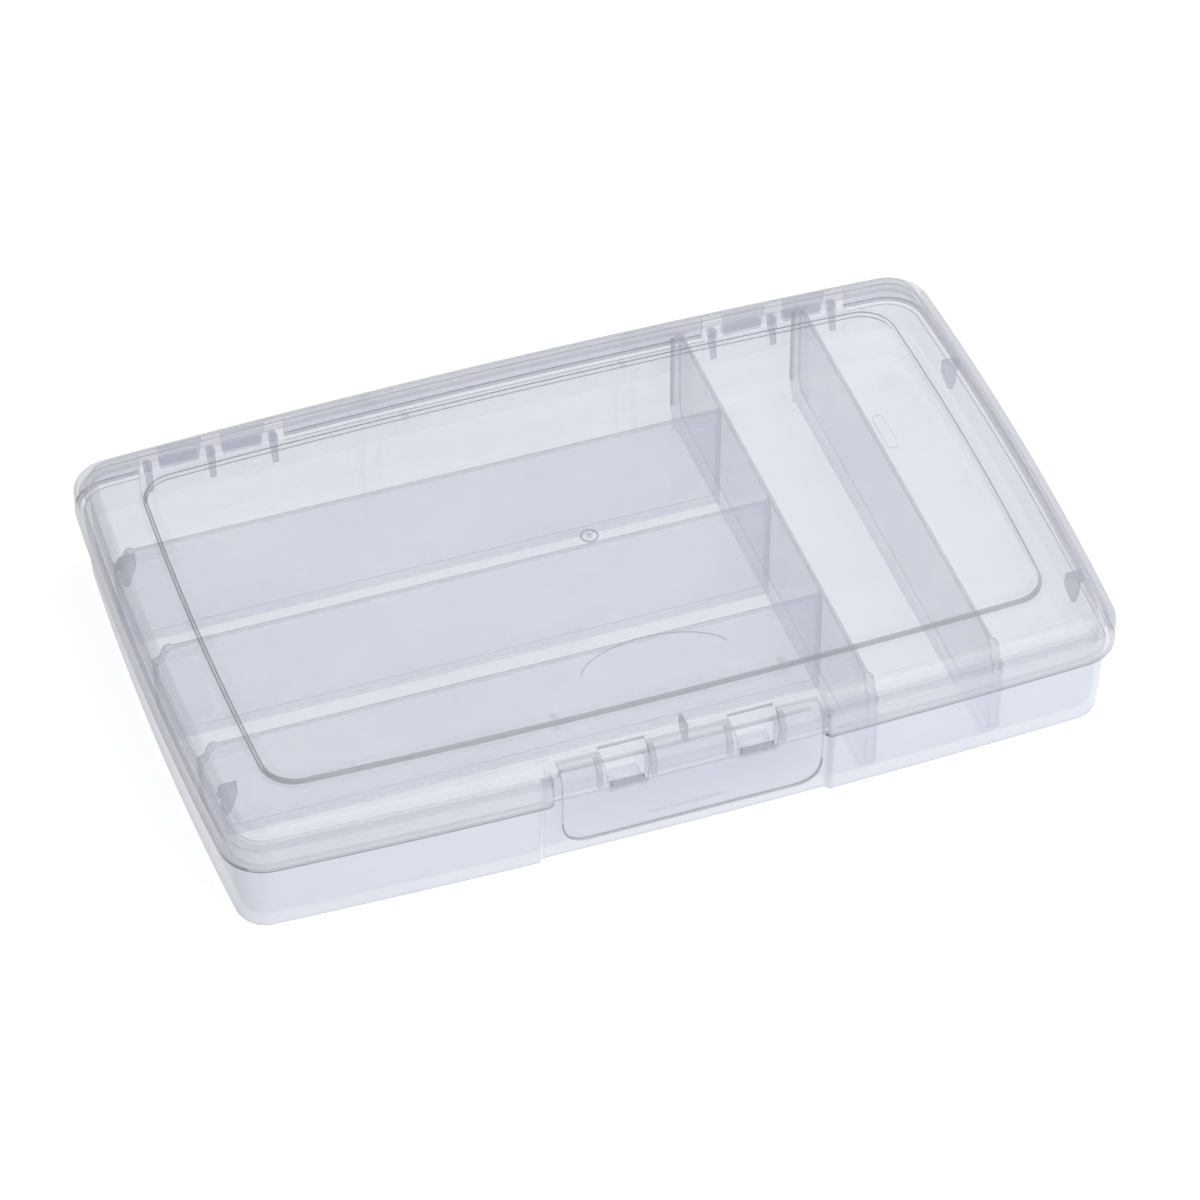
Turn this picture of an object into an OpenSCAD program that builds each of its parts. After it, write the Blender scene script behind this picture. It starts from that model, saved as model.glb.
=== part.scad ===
// Flat fishing tackle box of clear polypropylene: a tray with moulded dividers, a lid that swings
// on two rear hinges, and a front latch flap on a film hinge along the lid's front crest.
// Origin at the middle of the underside, +X to the right, +Y to the rear, +Z up, millimetres.

/* [Overall size] */
// Length over the crown of the lid's rim
box_length = 276; // [270:1:282]
// Depth over the crown of the lid's rim
box_depth = 175.5; // [172:0.5:179]
// Height from the underside to the raised top panel
box_height = 41.4; // [40.8:0.2:43]
// How far the short sides bow out at their middle
crown_x = 2.2; // [1:0.1:3]
// How far the long sides bow out at their middle
crown_y = 2.9; // [2:0.1:3.4]
// Corner radius of the lid's rim
corner_r = 13; // [12:0.5:16]

/* [Tray] */
// Wall thickness of the tray
tray_wall = 1.6; // [1.2:0.1:1.8]
// Thickness of the floor
floor_z = 1.5; // [1.2:0.1:2]
// Height of the tray's rim, inside the lid
tray_rim_z = 34; // [33.5:0.1:34]
// Radius under the tray's bottom edge
foot_r = 3; // [2:0.5:3.5]
// Radius between the floor and the walls
scoop_r = 6; // [4:0.5:7]

/* [Dividers] */
// Thickness of a divider
divider_t = 1.6; // [1.2:0.1:2]
// Height of the dividers' tops
divider_z = 38.2; // [37:0.1:38.3]
// Distance between the long dividers
long_pitch = 42; // [38:0.5:43]
// X of the two cross dividers
cross_x = [57.1, 96];

/* [Lid] */
// Wall thickness of the lid
lid_wall = 1.5; // [1.2:0.1:1.6]
// Height of the lid's lower edge
parting_z = 27; // [26:0.5:28]
// Height of the ledge above the lid's rim band
ledge_z = 35.7; // [35.7:0.1:36]
// Width of the ledge
ledge_w = 3.8; // [3.4:0.1:4]
// Radius of the lid's shoulder
shoulder_r = 2.8; // [2.4:0.1:3]
// Height of the raised panel above the lid's margin
panel_rise = 1.2; // [0.6:0.1:1.4]

/* [Latch] */
// Width of the latch flap
flap_w = 79; // [72:1:79]
// Thickness of the latch flap
flap_t = 1.1; // [0.9:0.1:1.3]
// Height of the flap's lower edge
flap_foot_z = 12; // [10:0.5:16]
// Distance of each latch window from the middle
window_x = 19.6; // [18:0.2:21]
// Width of a latch window at its bottom
window_w = 10; // [9.5:0.5:11]

/* [Hinges] */
// Distance of each rear hinge from the middle
hinge_x = 90; // [86:1:92]
// Diameter of the hinge pins
pin_d = 2.2; // [2:0.1:2.4]
// Distance between a hinge's three gussets
gusset_pitch = 19.6; // [18:0.2:20]

/* [Hidden] */
$fn = 64;
clear_plastic = [0.80, 0.81, 0.87];

// Rim outline before the sides bow out
rim_hx = box_length / 2 - crown_x;
rim_hy = box_depth / 2 - crown_y;
// The tray's wall leans in from its rim to its foot, measured from the lid's rim
rim_inset = 3.1;
foot_inset = 3.9;
shelf_inset = 2.5;
shelf_z = parting_z;
margin_z = box_height - panel_rise;
shoulder_inset = ledge_w + 0.4 + shoulder_r;
// Raised panel
panel_hx = rim_hx - 17.8;
panel_hy = rim_hy - 18.5;
panel_crown_x = 1.4;
panel_crown_y = 2.2;
panel_r = 10;
panel_slope = 1.4;
// Hinge line at the rear, and the flat seat behind it
hinge_y = 87;
hinge_z = parting_z - 0.2;
knuckle_r = 1.9;
pin_gap = 0.07;
seat_y = 84.2;
seat_hx = 23;
gusset_t = 2;
gusset_drop = 8.4;
knuckle_w = 12;
// Latch: film hinge line, outer face of the flap, recess in the tray
film_y = -82.2;
film_z = 40.05;
film_r = 0.3;
flap_y = -88.9;
flap_arc_r = 6.3;
flap_arc_y = flap_y + flap_arc_r;
flap_arc_z = margin_z + 0.1 - flap_arc_r;
flap_corner_r = 8.5;
window_top_w = window_w + 4;
window_foot_z = 29.4;
recess_hx = 43;
recess_jog = 1.6;
recess = 1.4;
// The tray's wall stands higher behind the latch
rise_hx = 38;
rise_y = [-84.1, -82.75];
rise_z = 35.8;
catch_root_y = -83.25;
latch_wall_y = film_y + film_r + 0.05;
gate_hx = 40.8;
cheek_t = 1.5;
cheek_y = -85.6;
catch_top_z = 32.8;
catch_w = 9.2;
catch_y = -87.4;
catch_z = 29.7;
catch_tip = 1.5;
// Locating webs under the lid
web_t = 1.2;
web_w = 5.5;
web_h = 8.2;
web_x_front = 0.8;
side_web_inset = 5.75;
side_web_w = 4.75;
side_web_h = 12.1;
web_y_rear = 39;
web_y_front = -59;

// ---- Outlines ----

// Where a long side has points, from its end to its middle
long_side_stations = [92, 61, recess_hx + recess_jog, recess_hx, 20, 0];

// Angle that half of a bowed side turns through, from its half length and its bow
function side_turn(half, bow) = 2 * atan(bow / half);

// A quarter of a rectangle with bowed sides and round corners, from the middle of its right side to
// the middle of its rear side
function quarter_outline(hx, hy, bow_x, bow_y, r) =
    let (turn_x = side_turn(hy - r, bow_x), turn_y = side_turn(hx - r, bow_y),
         side_rx = (hy - r) / sin(turn_x) + r, side_ry = (hx - r) / sin(turn_y) + r,
         mid_x = hx - r - (side_rx - r) * cos(turn_x), mid_y = hy - r - (side_ry - r) * cos(turn_y))
    concat(
        [for (i = [0:2]) let (a = turn_x * i / 3) [mid_x + side_rx * cos(a), side_rx * sin(a)]],
        [for (i = [0:6]) let (a = turn_x + (90 - turn_x - turn_y) * i / 6)
            [hx - r + r * cos(a), hy - r + r * sin(a)]],
        [for (x = long_side_stations) [x, mid_y + sqrt(side_ry * side_ry - x * x)]]);

function bowed_outline(hx, hy, bow_x, bow_y, r) =
    let (q = quarter_outline(hx, hy, bow_x, bow_y, r), last = len(q) - 1)
    concat(
        [for (i = [0:last - 1]) q[i]],
        [for (i = [last:-1:1]) [-q[i].x, q[i].y]],
        [for (i = [0:last - 1]) -q[i]],
        [for (i = [last:-1:1]) [q[i].x, -q[i].y]]);

function rim_ring(inset, z) =
    [for (p = bowed_outline(rim_hx - inset, rim_hy - inset, crown_x, crown_y,
        max(corner_r - inset, 3))) [p.x, p.y, z]];

function panel_ring(inset, z) =
    [for (p = bowed_outline(panel_hx - inset, panel_hy - inset, panel_crown_x, panel_crown_y,
        panel_r - inset)) [p.x, p.y, z]];

// Rim ring that steps back by depth behind the latch flap
function tray_ring(inset, z, depth) =
    [for (p = rim_ring(inset, z))
        (abs(p.x) < recess_hx + recess_jog / 2 && p.y < 0) ? [p.x, p.y + depth, p.z] : p];

// Bow of the rim at a point along a side
function bow_of_short_side(y) = crown_x * (1 - pow(y / (rim_hy - corner_r), 2));
function bow_of_long_side(x) = crown_y * (1 - pow(x / (rim_hx - corner_r), 2));

// ---- Wall profiles: [inset from the lid's rim, height], and on the tray the recess at the latch ----

tray_outside = concat(
    [for (a = [0:22.5:90]) [foot_inset + foot_r * (1 - sin(a)), foot_r * (1 - cos(a)), recess]],
    [[shelf_inset + 0.1, shelf_z - 1.4, recess], [shelf_inset, shelf_z - 0.6, 0],
     [shelf_inset, shelf_z - 0.2, 0], [shelf_inset + 0.8, shelf_z, recess],
     [rim_inset, tray_rim_z, recess]]);

tray_inside = concat(
    [[rim_inset + tray_wall, tray_rim_z, recess]],
    [for (a = [90:-18:0]) [foot_inset + tray_wall + scoop_r * (1 - sin(a)),
        floor_z + scoop_r * (1 - cos(a)), recess]]);

lid_outside = concat(
    [[0, parting_z], [0, ledge_z - 0.8], [0.25, ledge_z - 0.25], [0.8, ledge_z],
     [ledge_w, ledge_z]],
    [for (a = [0:18:90]) [shoulder_inset - shoulder_r * cos(a),
        margin_z - shoulder_r * (1 - sin(a))]]);

lid_inside = concat(
    [for (a = [90:-30:0]) [shoulder_inset - (shoulder_r - lid_wall) * cos(a),
        margin_z - shoulder_r + (shoulder_r - lid_wall) * sin(a)]],
    [[ledge_w + lid_wall, ledge_z - lid_wall], [lid_wall, ledge_z - lid_wall],
     [lid_wall, parting_z]]);

function rim_rings(profile) = [for (p = profile) rim_ring(p.x, p.y)];

function tray_rings(profile) = [for (p = profile) tray_ring(p[0], p[1], p[2])];

// A closed solid through rings of equal point count
module loft(rings) {
    n = len(rings[0]);
    last = len(rings) - 1;
    polyhedron(
        points = [for (ring = rings) each ring],
        faces = concat(
            [[for (i = [0:n - 1]) i]],
            [for (k = [0:last - 1], i = [0:n - 1]) let (j = (i + 1) % n)
                [k * n + i, (k + 1) * n + i, (k + 1) * n + j]],
            [for (k = [0:last - 1], i = [0:n - 1]) let (j = (i + 1) % n)
                [k * n + i, (k + 1) * n + j, k * n + j]],
            [[for (i = [n - 1:-1:0]) last * n + i]]));
}

// A box from its lowest to its highest corner
module block(low, high) {
    translate(low) cube(high - low);
}

// A flat outline in Y and Z, made width wide about x
module across(x, width, points) {
    translate([x - width / 2, 0, 0]) rotate([90, 0, 90]) linear_extrude(width) polygon(points);
}

// A flat outline in X and Z, made width wide about y
module along(y, width, points) {
    translate([0, y + width / 2, 0]) rotate([90, 0, 0]) linear_extrude(width) polygon(points);
}

// ---- Tray ----

module base_tray() {
    color(clear_plastic)
        difference() {
            union() {
                loft(tray_rings(concat(tray_outside, tray_inside)));
                // Flat seats for the rear hinges
                for (side = [-1, 1])
                    block([side * hinge_x - seat_hx, seat_y - 2.2, 17],
                        [side * hinge_x + seat_hx, seat_y, tray_rim_z]);
                block([-rise_hx, rise_y[0], tray_rim_z - 1], [rise_hx, rise_y[1], rise_z]);
            }
            for (side = [-1, 1])
                block([side * hinge_x - seat_hx, seat_y, 17],
                    [side * hinge_x + seat_hx, box_depth, box_height]);
        }
}

// ---- Dividers ----

// End of a divider against a wall: the scoop and the lean of the tray's wall up to a shoulder, then a
// step down from the divider's full height. wall is the rim's distance, and the outline runs upward.
end_gap = 0.15;
step_z = 33;
function divider_end(wall) = concat(
    [for (i = [len(tray_inside) - 1:-1:1]) [wall - tray_inside[i].x - end_gap, tray_inside[i].y]],
    [[wall - rim_inset - tray_wall - 2 * end_gap, step_z],
     [wall - 6.6, step_z + 0.9], [wall - 8, step_z + 3.6], [wall - 9.4, divider_z]]);

function reversed(list) = [for (i = [len(list) - 1:-1:0]) list[i]];

module long_divider(y) {
    wall = rim_hx + bow_of_short_side(y);
    inner_end = cross_x[0] - divider_t / 2;
    color(clear_plastic)
        along(y, divider_t, concat(
            [for (p = divider_end(wall)) [-p.x, p.y]],
            [[inner_end, divider_z], [inner_end, floor_z]]));
}

module cross_divider(x) {
    wall = rim_hy + bow_of_long_side(x);
    color(clear_plastic)
        across(x, divider_t, concat(
            [for (p = divider_end(wall)) [-p.x, p.y]],
            reversed(divider_end(wall))));
}

module long_divider_front() {
    long_divider(-long_pitch);
}

module long_divider_middle() {
    long_divider(0);
}

module long_divider_rear() {
    long_divider(long_pitch);
}

module cross_divider_left() {
    cross_divider(cross_x[0]);
}

module cross_divider_right() {
    cross_divider(cross_x[1]);
}

// ---- Catches on the tray's front wall ----

module catch_hook(side) {
    color(clear_plastic)
        across(side * window_x, catch_w, [
            [catch_root_y, catch_z], [catch_y, catch_z], [catch_y, catch_z + catch_tip],
            [catch_root_y, catch_top_z]]);
}

module catch_left() {
    catch_hook(-1);
}

module catch_right() {
    catch_hook(1);
}

// ---- Rear hinges ----

// A round eye about the hinge line, width wide about x
module eye(x, width, r) {
    translate([x - width / 2, hinge_y, hinge_z]) rotate([0, 90, 0]) cylinder(r = r, h = width);
}

module base_hinge(side) {
    color(clear_plastic)
        difference() {
            for (k = [-1:1]) {
                x = side * hinge_x + k * gusset_pitch;
                union() {
                    eye(x, gusset_t, knuckle_r);
                    across(x, gusset_t, [
                        [seat_y, hinge_z - gusset_drop], [hinge_y + knuckle_r * cos(30), hinge_z - knuckle_r * sin(30)],
                        [hinge_y, hinge_z + knuckle_r], [seat_y, hinge_z + 2.8]]);
                }
            }
            eye(side * hinge_x, 2 * seat_hx, pin_d / 2);
        }
}

module hinge_pin(side) {
    color(clear_plastic)
        eye(side * hinge_x, 2 * gusset_pitch + gusset_t + 1, pin_d / 2);
}

module lid_hinge(side) {
    color(clear_plastic)
        difference() {
            for (k = [-1, 1]) {
                x = side * hinge_x + k * gusset_pitch / 2;
                union() {
                    eye(x, knuckle_w, knuckle_r);
                    block([x - knuckle_w / 2, hinge_y - knuckle_r, hinge_z],
                        [x + knuckle_w / 2, hinge_y - knuckle_r + 1.3, ledge_z - lid_wall]);
                }
            }
            eye(side * hinge_x, 2 * seat_hx, pin_d / 2 + pin_gap);
        }
}

module base_hinge_left() {
    base_hinge(-1);
}

module base_hinge_right() {
    base_hinge(1);
}

module hinge_pin_left() {
    hinge_pin(-1);
}

module hinge_pin_right() {
    hinge_pin(1);
}

module lid_hinge_left() {
    lid_hinge(-1);
}

module lid_hinge_right() {
    lid_hinge(1);
}

// ---- Lid ----

// Block beside the latch, from a height up and in front of a plane
module cheek(side, z, y) {
    middle = side * (gate_hx + cheek_t / 2);
    block([middle - cheek_t / 2, -box_depth, z], [middle + cheek_t / 2, y, box_height]);
}

module lid_shell() {
    color(clear_plastic)
        difference() {
            union() {
                loft(concat(
                    [panel_ring(lid_wall, box_height - lid_wall),
                     panel_ring(lid_wall - panel_slope, margin_z - lid_wall)],
                    rim_rings(concat(lid_inside, lid_outside)),
                    [panel_ring(-panel_slope, margin_z), panel_ring(0, box_height)]));
                // Closed ends of the rim beside the latch, clear of the tray's rim below the ledge
                for (side = [-1, 1])
                    intersection() {
                        loft(rim_rings(lid_outside));
                        union() {
                            cheek(side, parting_z, cheek_y);
                            cheek(side, ledge_z - lid_wall, latch_wall_y + 0.2);
                        }
                    }
                // Wall behind the latch flap, up to the film hinge
                block([-gate_hx - cheek_t, latch_wall_y, ledge_z - lid_wall],
                    [gate_hx + cheek_t, latch_wall_y + lid_wall, margin_z]);
            }
            block([-gate_hx, -box_depth, parting_z - 1], [gate_hx, latch_wall_y, box_height + 1]);
            // Notches in the crest above the latch windows
            for (side = [-1, 1])
                block([side * window_x - window_top_w / 2, latch_wall_y - 1, margin_z - 1],
                    [side * window_x + window_top_w / 2, latch_wall_y + 0.8, margin_z + 1]);
            for (side = [-1, 1])
                block([side * hinge_x - seat_hx, rim_hy - 2, parting_z - 1],
                    [side * hinge_x + seat_hx, box_depth, ledge_z - lid_wall]);
        }
}

// A rounded web that hangs from the lid, its straight side at the origin
function web_outline(top) = concat(
    [[0, top], [0, top - web_h]],
    [for (a = [-75:15:0]) [web_w * (1 + sin(a)), top - web_h * cos(a)]],
    [[web_w, top]]);

// A longer web that hangs inside the tray's side wall and narrows to its foot, its outer top corner
// clear of the shoulder
function side_web_outline(top) = [
    [1.25, top], [0.4, top - 0.45], [0, top - 1.4], [0, top - 0.75 * side_web_h],
    [0.15 * side_web_w, top - 0.95 * side_web_h], [0.35 * side_web_w, top - side_web_h],
    [0.55 * side_web_w, top - 0.9 * side_web_h], [side_web_w, top - 0.35 * side_web_h],
    [side_web_w, top]];

module side_web(side, y) {
    wall = rim_hx + bow_of_short_side(y) - side_web_inset;
    color(clear_plastic)
        along(y, web_t, [for (p = side_web_outline(margin_z - lid_wall)) [side * (wall - p.x), p.y]]);
}

module lid_web_left_front() {
    side_web(-1, web_y_front);
}

module lid_web_left_rear() {
    side_web(-1, web_y_rear);
}

module lid_web_right_front() {
    side_web(1, web_y_front);
}

module lid_web_right_rear() {
    side_web(1, web_y_rear);
}

module lid_web_front() {
    wall = latch_wall_y + lid_wall;
    color(clear_plastic)
        across(web_x_front, web_t, [for (p = web_outline(margin_z - lid_wall)) [wall + p.x, p.y]]);
}

// ---- Latch ----

// Points of the flap's quarter round at a distance from its centre
function flap_arc(r, from, to) =
    [for (i = [0:8]) let (a = from + (to - from) * i / 8)
        [flap_arc_y - r * sin(a), flap_arc_z + r * cos(a)]];

// Half width of a window at a height
function window_half(z) =
    (window_w + (window_top_w - window_w) * (z - window_foot_z) / (margin_z - window_foot_z)) / 2;

module latch_flap() {
    r = flap_corner_r;
    half = flap_w / 2;
    color(clear_plastic)
        difference() {
            intersection() {
                across(0, flap_w, concat(
                    flap_arc(flap_arc_r, 0, 90),
                    [[flap_y, flap_foot_z], [flap_y + flap_t, flap_foot_z]],
                    reversed(flap_arc(flap_arc_r - flap_t, 0, 90))));
                along(flap_y, 4 * flap_arc_r, concat(
                    [for (a = [0:15:90]) [-half + r * (1 - cos(a)), flap_foot_z + r * (1 - sin(a))]],
                    [for (a = [90:-15:0]) [half - r * (1 - cos(a)), flap_foot_z + r * (1 - sin(a))]],
                    [[half, box_height], [-half, box_height]]));
            }
            for (side = [-1, 1])
                translate([side * window_x, 0, 0])
                    along(flap_y, 3 * flap_arc_r, [
                        [-window_half(window_foot_z), window_foot_z],
                        [window_half(window_foot_z), window_foot_z],
                        [window_half(box_height), box_height],
                        [-window_half(box_height), box_height]]);
        }
}

// Curved stiffening ribs inside the flap, beside each window
module latch_ribs() {
    rib_t = 1.8;
    rib_h = 1.4;
    r = flap_arc_r - flap_t - 0.05;
    x_inner = window_half(margin_z) + rib_t / 2 + 0.2;
    color(clear_plastic)
        for (side = [-1, 1], edge = [-1, 1])
            across(side * window_x + edge * x_inner, rib_t,
                concat(flap_arc(r, 8, 90), reversed(flap_arc(r - rib_h, 8, 90))));
}

// Film hinge, broken by the windows
module film_hinge() {
    edge = window_half(margin_z) + 0.1;
    stretches = [[-flap_w / 2, -window_x - edge], [-window_x + edge, window_x - edge],
        [window_x + edge, flap_w / 2]];
    color(clear_plastic)
        for (s = stretches)
            translate([s[0], film_y, film_z]) rotate([0, 90, 0]) cylinder(r = film_r, h = s[1] - s[0]);
}

base_tray();
long_divider_front();
long_divider_middle();
long_divider_rear();
cross_divider_left();
cross_divider_right();
catch_left();
catch_right();
base_hinge_left();
base_hinge_right();
hinge_pin_left();
hinge_pin_right();
lid_shell();
lid_hinge_left();
lid_hinge_right();
lid_web_left_front();
lid_web_left_rear();
lid_web_right_front();
lid_web_right_rear();
lid_web_front();
latch_flap();
latch_ribs();
film_hinge();
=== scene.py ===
"""Looks of a flat fishing tackle box of clear polypropylene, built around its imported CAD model.

The shells, dividers, hinges and latch are rebuilt as smooth moulded pieces in see-through plastic.
Outlines are worked out in millimetres, and a mesh is made in metres. Places come from the frame.
"""

import math

import bmesh
import bpy
from mathutils import Matrix, Vector


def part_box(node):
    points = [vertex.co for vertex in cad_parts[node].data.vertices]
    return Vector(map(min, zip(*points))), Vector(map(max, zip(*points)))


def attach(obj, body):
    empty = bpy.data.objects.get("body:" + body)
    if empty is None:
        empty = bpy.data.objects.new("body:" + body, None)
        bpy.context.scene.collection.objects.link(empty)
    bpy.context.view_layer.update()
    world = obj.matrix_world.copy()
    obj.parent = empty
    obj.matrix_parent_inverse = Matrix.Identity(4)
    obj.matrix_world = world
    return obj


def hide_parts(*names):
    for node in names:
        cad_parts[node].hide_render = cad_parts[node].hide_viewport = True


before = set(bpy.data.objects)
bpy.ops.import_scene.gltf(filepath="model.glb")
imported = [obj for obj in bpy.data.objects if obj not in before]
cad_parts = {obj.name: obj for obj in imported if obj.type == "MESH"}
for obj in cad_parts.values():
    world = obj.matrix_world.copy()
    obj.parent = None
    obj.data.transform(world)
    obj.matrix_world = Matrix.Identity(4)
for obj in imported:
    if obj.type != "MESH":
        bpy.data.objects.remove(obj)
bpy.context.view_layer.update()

MM = 0.001


def node_box(node):
    """Lowest and highest corner of a CAD node, in millimetres."""
    low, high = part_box(node)
    return low / MM, high / MM


def middle(node):
    """Middle of a CAD node's box, in millimetres."""
    low, high = node_box(node)
    return (low + high) / 2


# ---- Sizes, in millimetres ----

TRAY_HIGH = node_box("base_tray")[1]
LID_LOW, LID_HIGH = node_box("lid_shell")
DIVIDER_TOP = node_box("long_divider_middle")[1].z

CROWN_X, CROWN_Y, CORNER_R = 2.2, 2.9, 13.0
RIM_HX = LID_HIGH.x - CROWN_X
RIM_HY = LID_HIGH.y - CROWN_Y
LEAST_R = 3.0

FLOOR_Z = 1.5
PARTING_Z = LID_LOW.z
RISE_HX, RISE = 38.0, 1.8
TRAY_RIM_Z = TRAY_HIGH.z - RISE
TRAY_WALL, LID_WALL = 1.6, 1.5
TRAY_RIM_INSET, TRAY_FOOT_INSET, SHELF_INSET = 3.1, 3.9, 2.45
SCOOP_R = 6.5
LEDGE_Z, LEDGE_W = 35.7, 3.8
LEDGE_UNDER_Z = LEDGE_Z - LID_WALL
PANEL_RISE = 1.2
MARGIN_Z = LID_HIGH.z - PANEL_RISE
SHOULDER_INSET = 4.2

PANEL_HX, PANEL_HY = RIM_HX - 17.8, RIM_HY - 18.5
PANEL_CROWN_X, PANEL_CROWN_Y, PANEL_R, PANEL_SLOPE = 1.4, 2.2, 10.0, 0.5

RECESS_HX, RECESS_JOG, RECESS = 43.8, 1.6, 1.4
GATE_HX, CHEEK_T, CHEEK_R, CHEEK_Y = 40.8, 1.5, 2.4, -85.6
GATE_Y = node_box("film_hinge")[1].y + 0.05
NOTCH_DEPTH = 0.8

HINGE_X = [middle("base_hinge_left").x, middle("base_hinge_right").x]
HINGE_Y, HINGE_Z = middle("hinge_pin_left").y, middle("hinge_pin_left").z
PIN_R, KNUCKLE_R = 1.1, 1.9
SEAT_Y, SEAT_HX, SEAT_FOOT_Z = 84.2, 23.0, 17.0

FLAP_LOW, FLAP_HIGH = node_box("latch_flap")
FLAP_ARC_R, FLAP_T = 6.3, 1.1
FLAP_ARC_Y = FLAP_LOW.y + FLAP_ARC_R
FLAP_ARC_Z = FLAP_HIGH.z - FLAP_ARC_R
WINDOW_X = [-19.6, 19.6]
WINDOW_FOOT_Z, WINDOW_FOOT_W, WINDOW_TOP_W = 29.4, 11.2, 14.0


# ---- Mesh tools ----


def rounded(corners, steps=4):
    """Points of a line through corners (u, v, radius), with each inner corner turned on its radius."""
    points = [Vector(corners[0][:2])]
    for before, here, after in zip(corners, corners[1:], corners[2:]):
        corner = Vector(here[:2])
        back = (Vector(before[:2]) - corner).normalized()
        ahead = (Vector(after[:2]) - corner).normalized()
        turn = math.pi - back.angle(ahead)
        reach = here[2] * math.tan(turn / 2)
        start, end = corner + back * reach, corner + ahead * reach
        for i in range(steps + 1):
            t = i / steps
            points.append(start * (1 - t) ** 2 + corner * 2 * t * (1 - t) + end * t * t)
    points.append(Vector(corners[-1][:2]))
    return points


def rounded_loop(corners, steps=4):
    """The same for a closed outline."""
    return rounded([corners[-1], *corners, corners[0]], steps)[1:-1]


def full_turn(count):
    """Angles that divide a full turn into equal parts."""
    return [2 * math.pi * i / count for i in range(count)]


def arc(centre, radius, start, end, steps):
    """Points of an arc between two angles in degrees."""
    angles = [math.radians(start + (end - start) * i / steps) for i in range(steps + 1)]
    return [Vector((centre[0] + radius * math.cos(a), centre[1] + radius * math.sin(a))) for a in angles]


def inset(outline, depth):
    """A counter-clockwise outline moved inward by depth."""
    moved = []
    for i, point in enumerate(outline):
        into = (point - outline[i - 1]).normalized()
        out = (outline[(i + 1) % len(outline)] - point).normalized()
        side = Vector((-into.y - out.y, into.x + out.x)).normalized()
        moved.append(point + side * depth / max(side.dot(Vector((-out.y, out.x))), 0.5))
    return moved


def loft(rings, close=False):
    """Vertices and faces of a skin through rings of equal point count, closed by caps or on itself."""
    count = len(rings[0])
    vertices = [point for ring in rings for point in ring]
    faces = []
    for k in range(len(rings) if close else len(rings) - 1):
        a, b = k * count, (k + 1) % len(rings) * count
        for i in range(count):
            j = (i + 1) % count
            faces.append((a + i, b + i, b + j, a + j))
    if not close:
        faces.append(tuple(range(count)))
        faces.append(tuple(reversed(range(len(vertices) - count, len(vertices)))))
    return vertices, faces


def plate(outline, thickness, edge_r, place, steps=3):
    """A flat plate with rounded edges. place turns (u, v, w) into a point, w along its thickness."""
    half = thickness / 2
    rings = []
    for side in (-1, 1):
        turns = range(steps + 1) if side < 0 else range(steps, -1, -1)
        for i in turns:
            a = math.pi / 2 * i / steps
            ring = inset(outline, edge_r * (1 - math.sin(a)))
            w = side * (half - edge_r * (1 - math.cos(a)))
            rings.append([place(p.x, p.y, w) for p in ring])
    return loft(rings)


def turned(profile, place, count=24):
    """A solid turned about an axis from a profile of (distance along it, radius)."""
    rings = []
    for along, radius in profile:
        rings.append([place(along, radius * math.cos(a), radius * math.sin(a)) for a in full_turn(count)])
    return loft(rings)


def tube(points, radius, count=8):
    """A thin ridge of round section along a line of points, its ends tapered."""
    rings = []
    last = len(points) - 1
    for i, point in enumerate(points):
        ahead = (points[min(i + 1, last)] - points[max(i - 1, 0)]).normalized()
        side = ahead.cross(Vector((0, 0, 1))).normalized()
        up = side.cross(ahead)
        size = radius * min(1, 0.25 + min(i, last - i) / 3)
        rings.append([point + (side * math.cos(a) + up * math.sin(a)) * size for a in full_turn(count)])
    return loft(rings)


def joined(*parts):
    """Several shapes as one."""
    vertices, faces = [], []
    for part_vertices, part_faces in parts:
        start = len(vertices)
        vertices += part_vertices
        faces += [tuple(start + i for i in face) for face in part_faces]
    return vertices, faces


SHARP = math.radians(50)
EDGE_REACH = 0.6
EDGE_POWER = 0.7
WELD, LEAST_EDGE = 0.002, 0.001


def look(edge=0.0, bulk=0.0, least=0.0):
    """How a face looks: how strongly its curvature darkens it with painted edge shade, its extra bulk, and
    the least painted edge shade it has.
    """
    return edge, bulk, least


def plain(edge, bulk=0.0):
    """A finish that is the same on every face of a piece."""
    return lambda centre, normal: look(edge, bulk)


def mark_faces(mesh, finish):
    """Stores on each face how much of an edge it is, by how tightly it curves, which sets its painted edge
    shade, and its extra bulk.
    finish gives the look of a face from its middle, in millimetres, and its normal."""
    work = bmesh.new()
    work.from_mesh(mesh)
    edge_layer = work.faces.layers.float.new("edge")
    bulk_layer = work.faces.layers.float.new("bulk")
    for face in work.faces:
        longest = max(e.calc_length() for e in face.edges)
        width = face.calc_area() / max(longest, 1e-9)
        bends = [e.calc_face_angle(0.0) for e in face.edges if len(e.link_faces) == 2]
        bends = [b for b in bends if b < SHARP]
        radius = width / max(max(bends, default=0.0), 1e-4)
        strength, bulk, least = finish(face.calc_center_median() / MM, face.normal)
        tightness = min(1.0, EDGE_REACH * MM / max(radius, 1e-6)) ** EDGE_POWER
        face[edge_layer] = max(strength * tightness, least)
        face[bulk_layer] = bulk
    work.to_mesh(mesh)
    work.free()


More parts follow.
